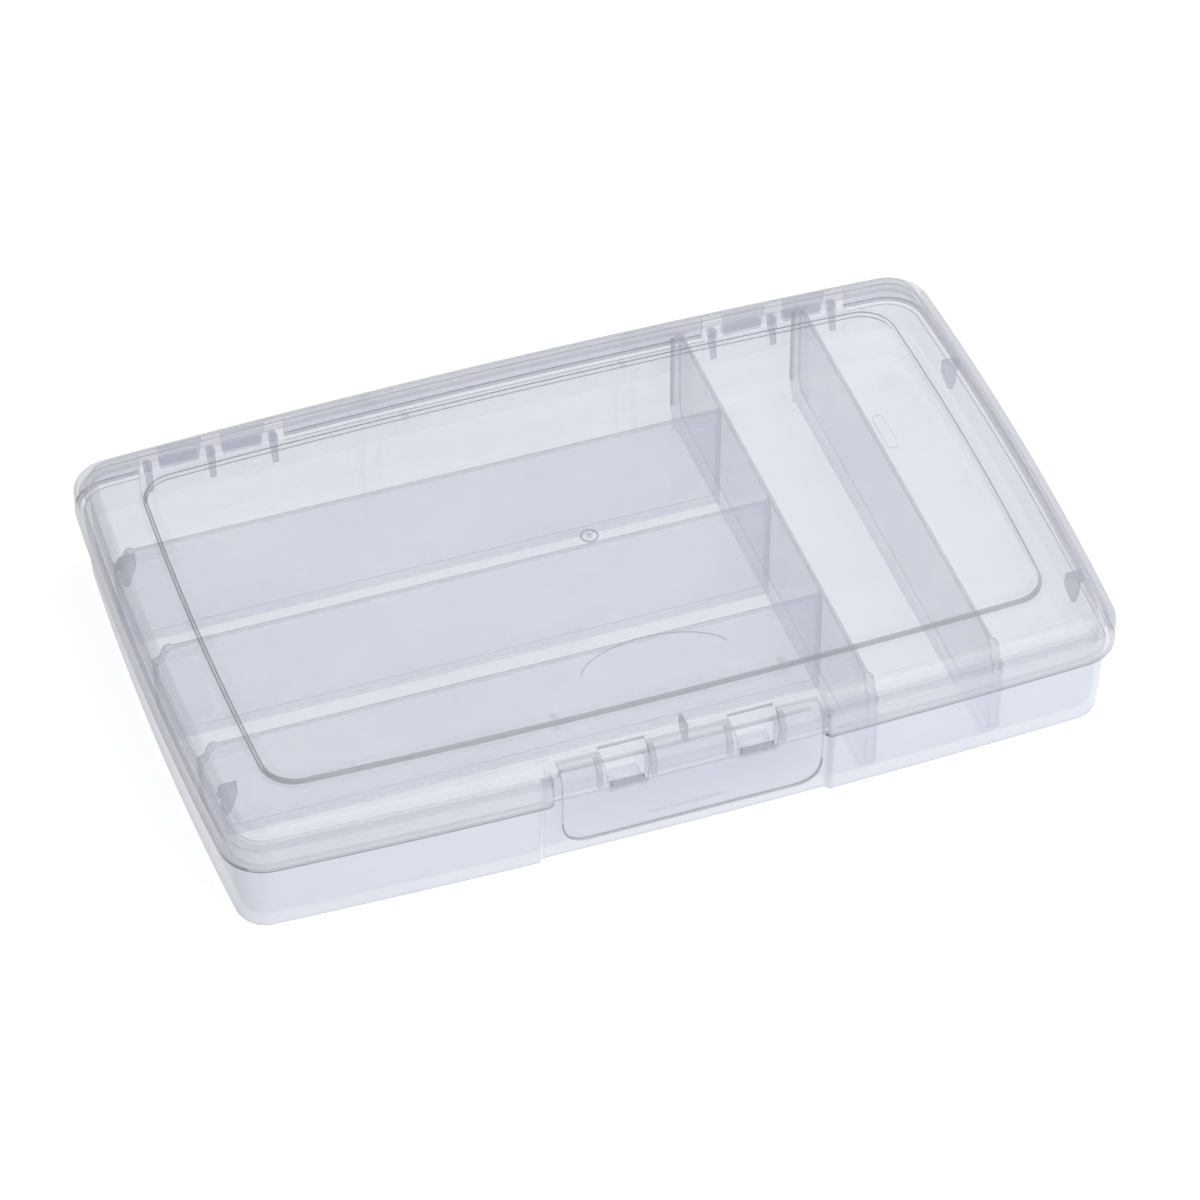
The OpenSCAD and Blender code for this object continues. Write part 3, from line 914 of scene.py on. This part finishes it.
def flap_outline():
    """The flap laid flat, its windows open to the hinge edge, counter-clockwise with down as negative v."""
    half = FLAP_HIGH.x
    window_down = FLAP_ARC_LENGTH + FLAP_ARC_Z - WINDOW_FOOT_Z
    corners = [(half, 0, 0.4)]
    for x in (WINDOW_X[1], WINDOW_X[0]):
        corners += [
            (x + WINDOW_TOP_W / 2, 0, 0.4), (x + WINDOW_FOOT_W / 2, -window_down, 1.0),
            (x - WINDOW_FOOT_W / 2, -window_down, 1.0), (x - WINDOW_TOP_W / 2, 0, 0.4),
        ]
    corners += [(-half, 0, 0.4), (-half, -FLAP_LENGTH, FLAP_CORNER_R), (half, -FLAP_LENGTH, FLAP_CORNER_R)]
    return rounded_loop(corners, 6)


def bent(shape, cuts, place):
    """Cuts a flat shape across v at each of cuts, then moves every vertex by place."""
    work = bmesh.new()
    vertices = [work.verts.new(v) for v in shape[0]]
    for face in shape[1]:
        work.faces.new([vertices[i] for i in face])
    for v in cuts:
        everything = work.verts[:] + work.edges[:] + work.faces[:]
        bmesh.ops.bisect_plane(work, geom=everything, plane_co=(0, v, 0), plane_no=(0, 1, 0))
    work.verts.index_update()
    moved = [place(*v.co) for v in work.verts]
    faces = [tuple(v.index for v in f.verts) for f in work.faces]
    work.free()
    return moved, faces


def flap_shape():
    """The flap: flat below, and bent through a quarter turn up to the film hinge."""
    flat = plate(flap_outline(), FLAP_T, FLAP_EDGE_R, lambda u, v, w: Vector((u, v, w)))
    cuts = [-FLAP_ARC_LENGTH * i / 12 for i in range(1, 13)]
    return bent(flat, cuts, lambda x, v, w: flap_place(x, -v, w))


def grip_ridge():
    """A low finger ridge across the foot of the flap."""
    points = [Vector((i - 14, FLAP_LOW.y, FLAP_LOW.z + 5.2)) for i in range(25)]
    return tube(points, 0.3)


def flap_finish(centre, _normal):
    """The free edge round the foot of the flap carries the darkest painted edge shade."""
    return look(1.2 if centre.z < FLAP_LOW.z + 9 else 0.4)


make("latch_flap_plate", flap_shape(), "latch", latch_plastic, ["latch_flap"], flap_finish)
make("latch_grip_ridge", grip_ridge(), "latch", latch_plastic, [], plain(0.1))


RIB_T, RIB_DEPTH, RIB_OFFSET = 1.8, 1.4, 1.1


def rib_shapes():
    """Curved ribs inside the flap, one at each side of a window."""
    r = FLAP_ARC_R - FLAP_T - 0.06
    centre = (FLAP_ARC_Y, FLAP_ARC_Z)
    outer = arc(centre, r, 98, 180, 12)
    inner = arc(centre, r - RIB_DEPTH, 180, 98, 12)
    outline = outer + [Vector((centre[0] - r, WINDOW_FOOT_Z + 1)),
                       Vector((centre[0] - r + 1.2, WINDOW_FOOT_Z + 1.6))] + inner
    parts = []
    for x in WINDOW_X:
        for side in (-1, 1):
            at = x + side * (WINDOW_TOP_W / 2 + RIB_OFFSET)
            parts.append(plate(outline, RIB_T, 0.3, lambda u, v, w, at=at: Vector((at + w, u, v))))
    return joined(*parts)


make("latch_rib_set", rib_shapes(), "latch", latch_plastic, ["latch_ribs"], plain(0.5, 0.5))


FILM_GAP_HX = 7.1  # half of the gap in the film at a window


def film_shapes():
    """The thin film between the lid's crest and the flap, broken at the windows."""
    low, high = node_box("film_hinge")
    y, z, r = (low.y + high.y) / 2, (low.z + high.z) / 2, (high.z - low.z) / 2
    edges = [FLAP_LOW.x]
    for x in WINDOW_X:
        edges += [x - FILM_GAP_HX, x + FILM_GAP_HX]
    edges.append(FLAP_HIGH.x)
    parts = []
    for start, end in zip(edges[::2], edges[1::2]):
        profile = [(start, 0.4 * r), (start + 0.3, 0.9 * r), (start + 0.6, r),
                   (end - 0.6, r), (end - 0.3, 0.9 * r), (end, 0.4 * r)]
        parts.append(turned(profile, lambda s, u, v: Vector((s, y + u, z + v)), 12))
    return joined(*parts)


# The film's white haze is a painted highlight along the crest.
make("latch_film", film_shapes(), "latch", film_highlight_plastic, ["film_hinge"], plain(0.0, 0.3))


TOE_H, TOE_D, TOE_OVER = 2.1, 1.3, 0.6
TOE_FRONT = FLAP_LOW.y + 0.6


def catch_shape(name):
    """A lug that reaches from the tray's wall into a latch window, its top sloped so the flap snaps over."""
    low, high = node_box(name)
    tip = TOE_FRONT + TOE_D / 2
    outline = rounded_loop([
        (high.y, low.z, 0.2), (high.y, high.z, 0.2), (tip, low.z + TOE_H, 0.5), (tip, low.z, 0.3),
    ], 3)
    x = (low.x + high.x) / 2
    return plate(outline, high.x - low.x - 0.6, 0.3, lambda u, v, w: Vector((x + w, u, v)))


def catch_toe(name):
    """The thick rounded bar at the lug's tip, which the flap's window hooks under."""
    low, high = node_box(name)
    outline = rounded_loop([
        (low.x - TOE_OVER, low.z, 0.9), (high.x + TOE_OVER, low.z, 0.9),
        (high.x + TOE_OVER, low.z + TOE_H, 0.5), (low.x - TOE_OVER, low.z + TOE_H, 0.5),
    ], 4)
    return plate(outline, TOE_D, 0.4, lambda u, v, w: Vector((u, TOE_FRONT + TOE_D / 2 + w, v)))


for side_name in ("left", "right"):
    catch_name = "catch_" + side_name
    lug, toe = catch_shape(catch_name), catch_toe(catch_name)
    make(catch_name + "_lug", lug, "tray", hinge_plastic, [catch_name], plain(0.05))
    # The toe carries strong painted edge shade, which shows it as a dark bar.
    make(catch_name + "_toe", toe, "tray", hinge_plastic, [], plain(0.9, 0.2))


# ---- Rear hinges ----

GUSSET_T, GUSSET_DROP, GUSSET_RISE, GUSSET_PITCH = 2.0, 8.4, 2.8, 19.6
KNUCKLE_W, ARM_T, ARM_FLARE = 12.0, 1.3, 1
PIN_FIT, KNUCKLE_FIT = 0.01, 0.07


def eye(x, width, inner_r, outer_r):
    """A ring about the hinge line, its rims a little rounded."""
    half, soft = width / 2, 0.25
    profile = [
        (-half + soft, outer_r), (-half, outer_r - soft), (-half, inner_r + 0.1), (-half + 0.1, inner_r),
        (half - 0.1, inner_r), (half, inner_r + 0.1), (half, outer_r - soft), (half - soft, outer_r),
    ]
    rings = []
    for along, radius in profile:
        rings.append([Vector((x + along, HINGE_Y + radius * math.cos(a), HINGE_Z + radius * math.sin(a)))
                      for a in full_turn(28)])
    return loft(rings, close=True)


def gusset_outline():
    """From the seat out under the eye, round it on the inner side, and back to the seat."""
    under = Vector((HINGE_Y + KNUCKLE_R * 0.5, HINGE_Z - KNUCKLE_R * 0.87))
    around = [Vector((HINGE_Y + KNUCKLE_R * math.cos(a), HINGE_Z + KNUCKLE_R * math.sin(a)))
              for a in [math.radians(300 - 210 * i / 14) for i in range(15)]]
    foot = Vector((SEAT_Y + TOUCH, HINGE_Z - GUSSET_DROP))
    head = Vector((SEAT_Y + TOUCH, HINGE_Z + GUSSET_RISE))
    return [foot, under, *around[1:], head]


def gusset_finish(centre, _normal):
    """Only the foot of a gusset carries strong painted shade, a dark tick."""
    at_foot = centre.z < HINGE_Z - GUSSET_DROP + 4.5
    return look(0.9, 0.6, 0.5) if at_foot else look(0.2, 0.3, 0.1)


def base_hinge(name, x):
    """Three gussets with eyes on the tray."""
    parts = []
    for k in (-1, 0, 1):
        at = x + k * GUSSET_PITCH
        parts.append(plate(gusset_outline(), GUSSET_T, 0.2, lambda u, v, w, at=at: Vector((at + w, u, v))))
        parts.append(eye(at, GUSSET_T, PIN_R + PIN_FIT, KNUCKLE_R))
    make(name + "_set", joined(*parts), "tray", hinge_plastic, [name], gusset_finish)


def hinge_pin(name):
    """The pin through a hinge's eyes and knuckles, its ends rounded."""
    low, high = node_box(name)
    start, end = low.x, high.x
    profile = [
        (start, 0.3), (start + 0.1, 0.7), (start + 0.4, PIN_R),
        (end - 0.4, PIN_R), (end - 0.1, 0.7), (end, 0.3),
    ]
    shape = turned(profile, lambda s, u, v: Vector((s, HINGE_Y + u, HINGE_Z + v)), 24)
    make(name + "_rod", shape, "tray", hinge_plastic, [name], plain(0.05))


def lid_hinge(name, x):
    """Two knuckles on the pin, each on an arm that reaches up under the lid's ledge."""
    parts = []
    for k in (-0.5, 0.5):
        at = x + k * GUSSET_PITCH
        parts.append(eye(at, KNUCKLE_W, PIN_R + KNUCKLE_FIT, KNUCKLE_R))
        inner = HINGE_Y - KNUCKLE_R
        arm = rounded_loop([
            (at - KNUCKLE_W / 2, HINGE_Z + 0.4, 0.3), (at + KNUCKLE_W / 2, HINGE_Z + 0.4, 0.3),
            (at + KNUCKLE_W / 2 + ARM_FLARE, LEDGE_UNDER_Z - TOUCH, 0.3),
            (at - KNUCKLE_W / 2 - ARM_FLARE, LEDGE_UNDER_Z - TOUCH, 0.3),
        ], 3)
        parts.append(plate(arm, ARM_T, 0.25, lambda u, v, w: Vector((u, inner + ARM_T / 2 - w, v))))
    make(name + "_arms", joined(*parts), "lid", hinge_plastic, [name], plain(0.15, 0.3))


for side_name, hinge_x in zip(("left", "right"), HINGE_X):
    base_hinge("base_hinge_" + side_name, hinge_x)
    hinge_pin("hinge_pin_" + side_name)
    lid_hinge("lid_hinge_" + side_name, hinge_x)


# ---- Stage, lights and camera ----


FLOOR_HALF, FLOOR_DROP = 8.0, 0.0002  # metres
FLOOR_GREY, FLOOR_GLOW = 0.30, 0.84
WORLD_LIGHT, WORLD_SEEN = 0.46, 1.05


def white_floor():
    """A white light table that stays even and bright under the box."""
    mesh = bpy.data.meshes.new("floor")
    corners = [(x * FLOOR_HALF, y * FLOOR_HALF, 0) for x, y in ((-1, -1), (1, -1), (1, 1), (-1, 1))]
    mesh.from_pydata(corners, [], [(0, 1, 2, 3)])
    floor = bpy.data.objects.new("floor", mesh)
    bpy.context.scene.collection.objects.link(floor)
    floor.location.z = -FLOOR_DROP
    material = bpy.data.materials.new("white_floor")
    material.use_nodes = True
    n = Nodes(material.node_tree)
    paint = n.add("BsdfDiffuse")
    paint.inputs["Color"].default_value = (FLOOR_GREY, FLOOR_GREY, FLOOR_GREY, 1)
    glow = n.add("Emission")
    glow.inputs["Strength"].default_value = FLOOR_GLOW
    both = n.add("AddShader")
    output = n.add("OutputMaterial")
    n.link(paint.outputs[0], both.inputs[0])
    n.link(glow.outputs[0], both.inputs[1])
    n.link(both.outputs[0], output.inputs["Surface"])
    mesh.materials.append(material)


def white_world():
    """Even soft light, and a white background for the camera."""
    world = bpy.data.worlds.new("studio")
    bpy.context.scene.world = world
    world.use_nodes = True
    n = Nodes(world.node_tree)
    light = n.add("Background")
    light.inputs["Strength"].default_value = WORLD_LIGHT
    seen = n.add("Background")
    seen.inputs["Strength"].default_value = WORLD_SEEN
    choice = n.add("MixShader")
    output = n.add("OutputWorld")
    n.link(n.add("LightPath").outputs["Is Camera Ray"], choice.inputs[0])
    n.link(light.outputs[0], choice.inputs[1])
    n.link(seen.outputs[0], choice.inputs[2])
    n.link(choice.outputs[0], output.inputs["Surface"])


def softbox(name, place, size, power):
    """A square soft light that faces the box."""
    lamp = bpy.data.lights.new(name, "AREA")
    lamp.shape = "SQUARE"
    lamp.size = size
    lamp.energy = power
    light = bpy.data.objects.new(name, lamp)
    light.location = place
    light.rotation_euler = (-Vector(place)).to_track_quat("-Z", "Y").to_euler()
    bpy.context.scene.collection.objects.link(light)


white_floor()
white_world()
softbox("key", (0.45, -1.1, 0.75), 1.3, 11.8)
softbox("top", (0.4, -0.1, 1.5), 0.9, 4.0)
softbox("side", (0.75, 0.25, 0.35), 0.4, 1.6)

CAMERA_PLACE = Vector((-0.4227, -1.1840, 1.2403))
CAMERA_TARGET = Vector((0.0013, -0.0057, 0.0200))
CAMERA_ROLL = math.radians(0.28)
FOCAL_LENGTH, SENSOR_WIDTH = 178.34, 36.0
lens = bpy.data.cameras.new("camera")
lens.lens = FOCAL_LENGTH
lens.sensor_width = SENSOR_WIDTH
camera = bpy.data.objects.new("camera", lens)
aim = (CAMERA_TARGET - CAMERA_PLACE).to_track_quat("-Z", "Y").to_matrix().to_4x4()
camera.matrix_world = Matrix.Translation(CAMERA_PLACE) @ aim @ Matrix.Rotation(CAMERA_ROLL, 4, "Z")
bpy.context.scene.collection.objects.link(camera)
scene = bpy.context.scene
scene.camera = camera
scene.view_settings.view_transform = "Standard"
scene.cycles.transparent_max_bounces = 48
